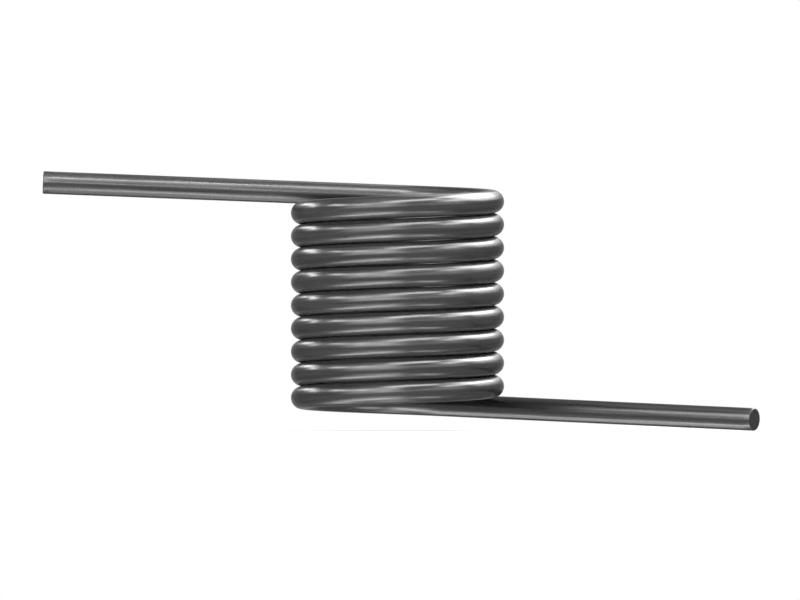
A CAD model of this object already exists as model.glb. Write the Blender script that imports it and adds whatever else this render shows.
import bpy
import math
import numpy as np
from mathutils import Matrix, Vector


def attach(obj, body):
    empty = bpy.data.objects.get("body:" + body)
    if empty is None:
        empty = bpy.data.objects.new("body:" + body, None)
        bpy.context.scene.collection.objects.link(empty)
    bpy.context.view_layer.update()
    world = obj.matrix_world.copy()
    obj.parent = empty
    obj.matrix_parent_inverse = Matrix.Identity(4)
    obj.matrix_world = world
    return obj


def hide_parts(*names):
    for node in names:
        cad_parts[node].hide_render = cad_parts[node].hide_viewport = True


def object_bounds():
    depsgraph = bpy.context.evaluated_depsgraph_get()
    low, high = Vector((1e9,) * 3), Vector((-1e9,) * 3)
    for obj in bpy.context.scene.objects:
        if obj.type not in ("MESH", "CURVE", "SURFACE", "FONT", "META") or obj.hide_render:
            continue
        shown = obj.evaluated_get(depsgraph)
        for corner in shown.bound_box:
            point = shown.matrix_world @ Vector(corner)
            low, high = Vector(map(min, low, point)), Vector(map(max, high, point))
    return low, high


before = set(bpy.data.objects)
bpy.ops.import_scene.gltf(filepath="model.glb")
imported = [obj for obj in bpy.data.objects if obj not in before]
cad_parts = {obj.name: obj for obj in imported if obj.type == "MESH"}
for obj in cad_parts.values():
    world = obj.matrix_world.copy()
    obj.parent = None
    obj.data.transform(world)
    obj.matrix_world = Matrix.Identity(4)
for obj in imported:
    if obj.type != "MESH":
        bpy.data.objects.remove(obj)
cad_low, cad_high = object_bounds()

# Sizes of the spring, in metres, as its solid has them.
MM = 0.001
HAIR = 0.001 * MM
WIRE_DIAMETER = 2.032 * MM
WIRE_RADIUS = WIRE_DIAMETER / 2 - 2 * HAIR
COIL_RADIUS = (19.05 * MM - WIRE_DIAMETER) / 2
PITCH = WIRE_DIAMETER + 0.03 * MM
TURNS = 9 + 30 / 360
START_ANGLE = math.radians(60)
LEG_LENGTH = 31.75 * MM - HAIR
END_BREAK = 0.11 * MM  # the radius of the rounded edge at each cut end

# Along the straight wire: the length of one turn, and where the coil begins and ends
TURN_LENGTH = math.hypot(2 * math.pi * COIL_RADIUS, PITCH)
COIL_START, COIL_END = LEG_LENGTH, LEG_LENGTH + TURNS * TURN_LENGTH

# How finely the wire is divided
AROUND = 64
PER_TURN = 96
PER_LEG = 40
BREAK_STEPS = 4
CAP_RINGS = 8

# The UV map: the tube in rows under each other, and the two cut ends in a last row
MAP_ROWS = 9
MAP_GAP = 0.3 * MM
ROW_HEIGHT = 2 * math.pi * WIRE_RADIUS


# ---------------------------------------------------------------- the wire
def centreline():
    """Points along the middle of the wire, with its direction and its outward side at each."""
    height = PITCH * TURNS
    angle = START_ANGLE + np.linspace(0, 2 * math.pi * TURNS, round(PER_TURN * TURNS) + 1)
    point = np.stack([COIL_RADIUS * np.cos(angle), COIL_RADIUS * np.sin(angle),
                      np.linspace(-height / 2, height / 2, len(angle))], 1)
    out = np.stack([np.cos(angle), np.sin(angle), 0 * angle], 1)
    slope = PITCH / (2 * math.pi * COIL_RADIUS)
    along = np.stack([-np.sin(angle), np.cos(angle), slope + 0 * angle], 1)
    along /= math.hypot(1, slope)
    reach = np.linspace(0, LEG_LENGTH, PER_LEG + 1)[1:, None]
    lower = (point[0] - reach * along[0])[::-1]
    upper = point[-1] + reach * along[-1]

    def with_legs(rows):
        return np.vstack([np.repeat(rows[:1], PER_LEG, 0), rows,
                          np.repeat(rows[-1:], PER_LEG, 0)])

    return np.vstack([lower, point, upper]), with_legs(along), with_legs(out)


def wire_rings(last):
    """The skin's rings from one cut end to the other.

    Each ring has the number of its point on the centreline, how far past that point it lies, and
    its radius.
    """
    inner = WIRE_RADIUS - END_BREAK
    turns = [math.pi / 2 * step / BREAK_STEPS for step in range(BREAK_STEPS + 1)]
    edge = [(END_BREAK * (1 - math.sin(turn)), inner + END_BREAK * math.cos(turn))
            for turn in turns]
    face = [(0.0, inner * (1 - step / CAP_RINGS)) for step in range(1, CAP_RINGS)]
    low = [(0, short, radius) for short, radius in edge + face][::-1]
    high = [(last, -short, radius) for short, radius in edge + face]
    return low + [(i, 0.0, WIRE_RADIUS) for i in range(1, last)] + high


def circle():
    turn = np.linspace(0, 2 * math.pi, AROUND, endpoint=False)
    return np.stack([np.cos(turn), np.sin(turn)], 1)


def tube_map(at):
    """Where the corners of the tube's faces go in the map, and the side of the square it needs.

    at is how far along the wire each of the tube's rings lies.
    """
    total = at[-1] - at[0]
    row = np.minimum(((at[:-1] - at[0]) / total * MAP_ROWS).astype(int), MAP_ROWS - 1)
    first = np.array([at[:-1][row == r][0] for r in range(MAP_ROWS)])
    side = max(total / MAP_ROWS + 4 * MAP_GAP,
               MAP_ROWS * (ROW_HEIGHT + MAP_GAP) + 2 * (WIRE_RADIUS + END_BREAK) + 3 * MAP_GAP)
    u = np.stack([at[:-1] - first[row], at[1:] - first[row]], 1) + MAP_GAP
    v = (MAP_GAP + row[:, None] * (ROW_HEIGHT + MAP_GAP)
         + np.linspace(0, ROW_HEIGHT, AROUND + 1)[None])
    corners = np.empty((len(row), AROUND, 4, 2))
    corners[:, :, 0, 0] = corners[:, :, 1, 0] = u[:, :1]
    corners[:, :, 2, 0] = corners[:, :, 3, 0] = u[:, 1:]
    corners[:, :, 0, 1] = corners[:, :, 3, 1] = v[:, :-1]
    corners[:, :, 1, 1] = corners[:, :, 2, 1] = v[:, 1:]
    return corners.reshape(-1, 2), side


def end_map(reach, across, below):
    """Where the corners of one cut end's faces go: its quads, then its fan of triangles.

    reach is how far from the middle of the cut each of its rings lies, along the surface.
    """
    middle = np.array([across, below])
    at = middle + reach[:, None, None] * circle()[None]
    k, n = np.arange(AROUND), (np.arange(AROUND) + 1) % AROUND
    quads = np.stack([at[:-1][:, k], at[:-1][:, n], at[1:][:, n], at[1:][:, k]], 2)
    fan = np.stack([np.broadcast_to(middle, (AROUND, 2)), at[0][n], at[0][k]], 1)
    return quads, fan


def add_map(mesh, rings, run):
    """A UV map of the whole skin at one scale, with nothing overlapping.

    The tube lies in rows, and each cut end, with its rounded edge, is a disc below them.
    """
    cap = CAP_RINGS + BREAK_STEPS  # rings on one cut end and its rounded edge
    run_of = np.array([run[index] + past for index, past, _ in rings])
    tube, side = tube_map(run_of[cap - 1:len(rings) - cap + 1])
    radius = np.array([ring[2] for ring in rings[:cap]])
    profile = np.column_stack([radius, run_of[:cap]])
    steps = np.linalg.norm(np.diff(profile, axis=0), axis=1)
    reach = radius[0] + np.concatenate([[0], np.cumsum(steps)])
    below = MAP_GAP + MAP_ROWS * (ROW_HEIGHT + MAP_GAP) + reach[-1]
    low_quads, low_fan = end_map(reach, MAP_GAP + reach[-1], below)
    high_quads, high_fan = end_map(reach, 3 * MAP_GAP + 3 * reach[-1], below)
    # The upper end's faces come in the other order and wind the other way
    high_quads = high_quads[::-1][:, :, [3, 2, 1, 0]]
    high_fan = high_fan[:, [0, 2, 1]]
    parts = [low_quads, tube, high_quads, low_fan, high_fan]
    places = np.vstack([part.reshape(-1, 2) for part in parts]) / side
    layer = mesh.uv_layers.new(name="OFBake")
    layer.uv.foreach_set("vector", places.astype(np.float32).ravel())


def build_wire():
    """The whole wire as one closed skin of quads, with rounded cut ends.

    Each vertex keeps its place in the straight wire, before it was coiled: across it in x and y,
    and along it in z. The patterns are drawn there, so that they run along the wire.
    """
    point, along, out = centreline()
    side = np.cross(along, out)
    steps = np.linalg.norm(np.diff(point, axis=0), axis=1)
    run = np.concatenate([[0], np.cumsum(steps)])
    rings = wire_rings(len(run) - 1)
    across = circle()
    places, straight = [], []
    for index, past, radius in rings:
        centre = point[index] + past * along[index]
        spokes = across[:, :1] * out[index] + across[:, 1:] * side[index]
        places.append(centre + radius * spokes)
        straight.append(np.column_stack([radius * across, np.full(AROUND, run[index] + past)]))
    places = np.vstack(places + [point[:1], point[-1:]])
    straight = np.vstack(straight + [[[0, 0, run[0]]], [[0, 0, run[-1]]]])

    # Quads from ring to ring, and a fan of triangles round the middle of each cut end
    k = np.arange(AROUND)
    n = (k + 1) % AROUND
    ring = np.arange(len(rings) - 1)[:, None] * AROUND
    quads = np.stack([ring + k, ring + n, ring + AROUND + n, ring + AROUND + k], 2).reshape(-1, 4)
    low_centre, top = len(rings) * AROUND, (len(rings) - 1) * AROUND
    fans = [(low_centre, b, a) for a, b in zip(k, n)]
    fans += [(low_centre + 1, top + a, top + b) for a, b in zip(k, n)]

    mesh = bpy.data.meshes.new("spring_wire")
    mesh.from_pydata(places.tolist(), [], quads.tolist() + fans)
    mesh.attributes.new("straight_wire", "FLOAT_VECTOR", "POINT").data.foreach_set(
        "vector", straight.astype(np.float32).ravel())
    mesh.polygons.foreach_set("use_smooth", [True] * len(mesh.polygons))

    # The cut ends wear the second material, up to the middle of the rounded edge
    cut = np.zeros(len(mesh.polygons), np.int32)
    deep = CAP_RINGS - 1 + BREAK_STEPS // 2
    cut[:deep * AROUND] = cut[(len(rings) - 1 - deep) * AROUND:] = 1
    mesh.polygons.foreach_set("material_index", cut)

    add_map(mesh, rings, run)
    mesh.update()
    wire = bpy.data.objects.new("spring_wire", mesh)
    bpy.context.scene.collection.objects.link(wire)
    return wire


wire = build_wire()
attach(wire, "root")
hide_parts("torsion_spring")


# ---------------------------------------------------------------- nodes
def node(tree, kind, inputs=None, **settings):
    """A new node, with each input linked to a socket or set to a value."""
    made = tree.nodes.new(kind)
    for name, value in settings.items():
        setattr(made, name, value)
    for name, value in (inputs or {}).items():
        socket = made.inputs[name]
        if isinstance(value, bpy.types.NodeSocket):
            tree.links.new(value, socket)
        else:
            socket.default_value = value
    return made


def blank(name):
    """A material with no nodes yet, and its node tree."""
    material = bpy.data.materials.new(name)
    material.use_nodes = True
    material.node_tree.nodes.clear()
    return material, material.node_tree


def straight_wire(tree):
    return node(tree, "ShaderNodeAttribute", attribute_name="straight_wire").outputs["Vector"]


def noise(tree, place, across, lengthwise, detail):
    """Noise whose grains are about so wide across the wire and so long along it."""
    scaled = node(tree, "ShaderNodeVectorMath",
                  {0: place, 1: (1 / across, 1 / across, 1 / lengthwise)},
                  operation="MULTIPLY").outputs[0]
    return node(tree, "ShaderNodeTexNoise",
                {"Vector": scaled, "Scale": 1.0, "Detail": detail, "Roughness": 0.5}).outputs[0]


NOISE_MIDDLE = (0.3, 0.7)  # where most of a noise lies
COOL = 1.01  # how much bluer than grey the steel is


def between(tree, value, low, high):
    """The middle part of a noise, spread from low to high."""
    return node(tree, "ShaderNodeMapRange",
                {"Value": value, "From Min": NOISE_MIDDLE[0], "From Max": NOISE_MIDDLE[1],
                 "To Min": low, "To Max": high}).outputs[0]


def two_greys(tree, value, greys):
    """The middle part of a noise, spread from one grey to another."""
    colour = node(tree, "ShaderNodeValToRGB", {0: value})
    for element, position, grey in zip(colour.color_ramp.elements, NOISE_MIDDLE, greys):
        element.position = position
        element.color = (grey, grey, grey * COOL, 1)
    return colour.outputs[0]


def math_node(tree, operation, *values, **settings):
    return node(tree, "ShaderNodeMath", dict(enumerate(values)), operation=operation,
                **settings).outputs[0]


def bumped(tree, height, distance):
    return node(tree, "ShaderNodeBump",
                {"Strength": 1.0, "Distance": distance, "Height": height}).outputs[0]


EDGE_TINT = (0.5, 0.5, 0.5, 1)  # keeps the grazing edges dark


def metal_surface(tree, colour, metallic, roughness, normal):
    """Steel, with no second, colourless reflection over the metal's own."""
    shader = node(tree, "ShaderNodeBsdfPrincipled",
                  {"Base Color": colour, "Metallic": metallic, "Roughness": roughness,
                   "Normal": normal, "Specular IOR Level": 0.0, "Specular Tint": EDGE_TINT})
    node(tree, "ShaderNodeOutputMaterial", {"Surface": shader.outputs[0]})


# ---------------------------------------------------------------- materials
STEEL_GREYS = (0.048, 0.072)
STEEL_ROUGHNESS = (0.22, 0.32)
METALLIC = 0.7
RELIEF = 2.6e-5  # how deep the lines and ripples are drawn, for the bump
LINE_SHARE = 0.25  # how deep the fine lines are beside the ripples

# The film in the grooves. On each flank, how strong it is, and how far from the crest it starts and
# is full, in wire radii. It ends short of the line where two turns nearly meet.
FILM_GREYS = (0.14, 0.2)
FILM_METALLIC = 0.5
LOWER_FILM, LOWER_FADE = 1.0, (0.58, 0.82)
UPPER_FILM, UPPER_FADE = 0.45, (0.68, 0.88)
CONTACT_FADE = (1.0, 0.93)
SOFT_END = 3 * MM  # along the wire, it fades over twice this much

CUT_GREYS = (0.03, 0.046)
CUT_ROUGHNESS = (0.38, 0.5)
CUT_RELIEF = 1.2e-5


def grooves(tree, place):
    """How much film there is: most on the flanks beside another turn, none on crests and legs."""
    parts = node(tree, "ShaderNodeSeparateXYZ", {0: place})
    down, along = parts.outputs["Y"], parts.outputs["Z"]

    def fade(value, start, end, most=1.0):
        return node(tree, "ShaderNodeMapRange",
                    {"Value": value, "From Min": start, "From Max": end, "To Max": most},
                    interpolation_type="SMOOTHSTEP").outputs[0]

    film = []
    for side, most, flank, first, last in (
            (1, LOWER_FILM, LOWER_FADE, COIL_START + TURN_LENGTH, COIL_END),
            (-1, UPPER_FILM, UPPER_FADE, COIL_START, COIL_END - TURN_LENGTH)):
        start, full, contact, clear = (side * share * WIRE_RADIUS for share in flank + CONTACT_FADE)
        across = math_node(tree, "MULTIPLY", fade(down, start, full, most),
                           fade(down, contact, clear))
        covered = math_node(tree, "MULTIPLY", fade(along, first - SOFT_END, first + SOFT_END),
                            fade(along, last + SOFT_END, last - SOFT_END))
        film.append(math_node(tree, "MULTIPLY", across, covered))
    return math_node(tree, "ADD", *film, use_clamp=True)


def drawn_steel():
    """Drawn spring wire: fine lines and slow ripples from the die, all along the wire."""
    material, tree = blank("drawn_spring_steel")
    place = straight_wire(tree)
    die_lines = noise(tree, place, across=0.22 * MM, lengthwise=14 * MM, detail=2)
    ripple = noise(tree, place, across=0.75 * MM, lengthwise=9 * MM, detail=1)
    tone = noise(tree, place, across=0.3 * MM, lengthwise=12 * MM, detail=4)
    wear = noise(tree, place, across=0.5 * MM, lengthwise=8 * MM, detail=3)
    height = math_node(tree, "MULTIPLY_ADD", die_lines, LINE_SHARE, ripple)
    film = grooves(tree, place)
    colour = node(tree, "ShaderNodeMixRGB",
                  {0: film, 1: two_greys(tree, tone, STEEL_GREYS),
                   2: two_greys(tree, tone, FILM_GREYS)}).outputs[0]
    metallic = node(tree, "ShaderNodeMapRange",
                    {"Value": film, "To Min": METALLIC, "To Max": FILM_METALLIC}).outputs[0]
    metal_surface(tree, colour, metallic, between(tree, wear, *STEEL_ROUGHNESS),
                  bumped(tree, height, RELIEF))
    return material


def cut_steel():
    """The sheared ends: duller and darker than the drawn skin, and faintly mottled."""
    material, tree = blank("cut_end_steel")
    place = straight_wire(tree)
    mottle = noise(tree, place, across=0.35 * MM, lengthwise=0.35 * MM, detail=3)
    grain = noise(tree, place, across=0.07 * MM, lengthwise=0.07 * MM, detail=2)
    metal_surface(tree, two_greys(tree, mottle, CUT_GREYS), METALLIC,
                  between(tree, grain, *CUT_ROUGHNESS), bumped(tree, grain, CUT_RELIEF))
    return material


wire.data.materials.append(drawn_steel())
wire.data.materials.append(cut_steel())


# ---------------------------------------------------------------- floor and backdrop
FLOOR = 6.0  # half its width
FLOOR_GREY = 0.8
# Near the spring, the camera sees this much of the light on the floor, over a glow that keeps the
# floor white and the shadow pale. Farther out, between these two distances, it turns plain white.
SHADOW_GREY, SHADOW_GLOW = 0.44, 0.7
SHADOW_FADE = (0.05, 0.13)
WORLD_FILL = 0.25
WHITE = (1, 1, 1, 1)


def shows_background(tree):
    """1 for the rays that see the background: the camera's, and those that metal or glass sends."""
    rays = node(tree, "ShaderNodeLightPath").outputs
    either = math_node(tree, "ADD", rays["Is Camera Ray"], rays["Is Glossy Ray"])
    return math_node(tree, "ADD", either, rays["Is Transmission Ray"], use_clamp=True)


def floor_material():
    """Pale to the light that falls on it. To the camera it is white, but for the soft shadow."""
    material, tree = blank("pale_floor")

    def diffuse(grey):
        return node(tree, "ShaderNodeBsdfDiffuse", {"Color": (grey, grey, grey, 1)}).outputs[0]

    def glow(strength):
        return node(tree, "ShaderNodeEmission", {"Color": WHITE, "Strength": strength}).outputs[0]

    place = node(tree, "ShaderNodeTexCoord").outputs["Object"]
    distance = node(tree, "ShaderNodeVectorMath", {0: place}, operation="LENGTH").outputs["Value"]
    faded = node(tree, "ShaderNodeMapRange",
                 {"Value": distance, "From Min": SHADOW_FADE[0], "From Max": SHADOW_FADE[1]},
                 interpolation_type="SMOOTHSTEP").outputs[0]
    near = node(tree, "ShaderNodeAddShader", {0: diffuse(SHADOW_GREY), 1: glow(SHADOW_GLOW)})
    seen = node(tree, "ShaderNodeMixShader", {0: faded, 1: near.outputs[0], 2: glow(1.0)})
    both = node(tree, "ShaderNodeMixShader",
                {0: shows_background(tree), 1: diffuse(FLOOR_GREY), 2: seen.outputs[0]})
    node(tree, "ShaderNodeOutputMaterial", {"Surface": both.outputs[0]})
    return material


floor_mesh = bpy.data.meshes.new("floor")
floor_mesh.from_pydata([(-FLOOR, -FLOOR, 0), (FLOOR, -FLOOR, 0), (FLOOR, FLOOR, 0),
                        (-FLOOR, FLOOR, 0)], [], [(0, 1, 2, 3)])
floor = bpy.data.objects.new("floor", floor_mesh)
floor.location = (0, 0, cad_low.z)
floor_mesh.materials.append(floor_material())
bpy.context.scene.collection.objects.link(floor)
# The metal's lower side sees the world's equal white through it, and the lamps under it
floor.visible_glossy = False
floor.visible_shadow = False

world = bpy.data.worlds.new("studio")
bpy.context.scene.world = world
world.use_nodes = True
sky = world.node_tree
sky.nodes.clear()
white = node(sky, "ShaderNodeBackground", {"Color": WHITE, "Strength": 1.0}).outputs[0]
fill = node(sky, "ShaderNodeBackground", {"Color": WHITE, "Strength": WORLD_FILL}).outputs[0]
shown = node(sky, "ShaderNodeMixShader", {0: shows_background(sky), 1: fill, 2: white}).outputs[0]
node(sky, "ShaderNodeOutputWorld", {"Surface": shown})


# ---------------------------------------------------------------- lamps
# Each lamp is this much nearer than the one before, because a reflection sees only one of two lamps
# that lie in one plane
STAGGER = 0.002


def panel(name, middle, size, turn=0.0, tilt=0.0, light=0.0, glint=0.0):
    """A soft panel. light shines on everything, and glint shows in the metal's reflections alone.

    It faces straight down, and tilt leans it up: 90 is upright and 180 shines straight up.
    """
    for kind, strength in (("", light), ("_glint", glint)):
        if strength:
            nearer = 1 - STAGGER * len(bpy.data.lights)
            lamp = bpy.data.lights.new(name + kind, "AREA")
            lamp.shape = "RECTANGLE"
            lamp.size, lamp.size_y = size
            lamp.energy = strength * math.pi * lamp.size * lamp.size_y
            holder = bpy.data.objects.new(name + kind, lamp)
            holder.location = [nearer * x for x in middle]
            holder.rotation_euler = (math.radians(tilt), 0, math.radians(turn))
            holder.visible_camera = False
            holder.visible_diffuse = not kind
            bpy.context.scene.collection.objects.link(holder)


# Over the spring: the key to its right, the rim behind it to its left, and the front
panel("key", (0.45, 0.47, 0.5), (0.54, 0.92), light=4.5, glint=20)
panel("key_far", (0.85, 0.62, 0.5), (0.5, 0.9), glint=6)
panel("key_edge", (0.85, 0.95, 0.5), (1.3, 1.6), glint=5.5)
panel("key_side", (0.12, 0.52, 0.5), (0.2, 0.56), glint=9.5)
panel("key_core", (0.52, 0.62, 0.5), (0.34, 0.50), glint=13)
panel("key_front", (0.61, -0.22, 0.5), (0.28, 0.40), glint=15.2)
panel("rim", (-0.63, 0.78, 0.5), (0.24, 0.56), light=5, glint=32)
panel("rim_side", (-1.0, 0.48, 0.5), (0.6, 0.2), glint=34)
panel("left", (-0.80, -0.14, 0.5), (0.32, 0.28), glint=17.5)
panel("left_mid", (-0.555, -0.555, 0.5), (0.22, 0.28), turn=-45, glint=8)
panel("above_left", (-0.14, 0.0, 0.5), (0.24, 0.32), glint=1.2)
panel("left_front", (-0.66, -1.0, 0.5), (1.1, 1.4), turn=-15, light=3, glint=3.2)
panel("left_low", (-0.70, -0.96, 0.13), (1.0, 0.2), turn=-36, tilt=90, glint=6.1)
panel("front_low", (-0.1, -1.2, 0.24), (0.6, 0.22), turn=-5, tilt=90, glint=7.5)
panel("right_low", (0.90, -0.80, 0.37), (1.4, 0.33), turn=48, tilt=90, glint=2.5)
panel("front", (0.09, -0.262, 0.5), (0.46, 0.13), turn=29, light=2, glint=18.3)
# Under it, for the metal's lower side
panel("low_left", (-0.184, -0.154, -0.5), (0.40, 0.15), turn=-50, tilt=180, glint=11.3)
panel("low_front", (-0.264, -0.377, -0.5), (0.40, 0.26), turn=-35, tilt=180, glint=2.7)
panel("low_right", (0.229, -0.16, -0.5), (0.25, 0.12), turn=55, tilt=180, glint=7.5)
panel("low_middle", (0.0, -0.13, -0.5), (0.12, 0.80), tilt=180, glint=4.2)
panel("low_back", (-0.265, 0.16, -0.5), (0.34, 0.14), turn=57, tilt=180, glint=8)

# ---------------------------------------------------------------- camera
AZIMUTH, ELEVATION = math.radians(-0.42), math.radians(-0.03)
DISTANCE = 2.2
PIXELS_PER_METRE = 11196.0
WIDTH, HEIGHT = 800, 600
ORIGIN_AT = (397.5, 300.52)  # where the origin lands, in pixels from the picture's top left corner

back = np.array([math.sin(AZIMUTH) * math.cos(ELEVATION),
                 -math.cos(AZIMUTH) * math.cos(ELEVATION), math.sin(ELEVATION)])
right = np.array([math.cos(AZIMUTH), math.sin(AZIMUTH), 0])
up = np.cross(back, right)
aim = (right * (WIDTH / 2 - ORIGIN_AT[0]) + up * (ORIGIN_AT[1] - HEIGHT / 2)) / PIXELS_PER_METRE
camera = bpy.data.objects.new("camera", bpy.data.cameras.new("camera"))
camera.data.sensor_width = 36
camera.data.lens = camera.data.sensor_width * DISTANCE * PIXELS_PER_METRE / WIDTH
camera.data.clip_start, camera.data.clip_end = 0.1, 50
camera.location = aim + back * DISTANCE
camera.rotation_euler = (math.pi / 2 - ELEVATION, 0, AZIMUTH)
bpy.context.scene.collection.objects.link(camera)
bpy.context.scene.camera = camera
bpy.context.scene.view_settings.view_transform = "Standard"
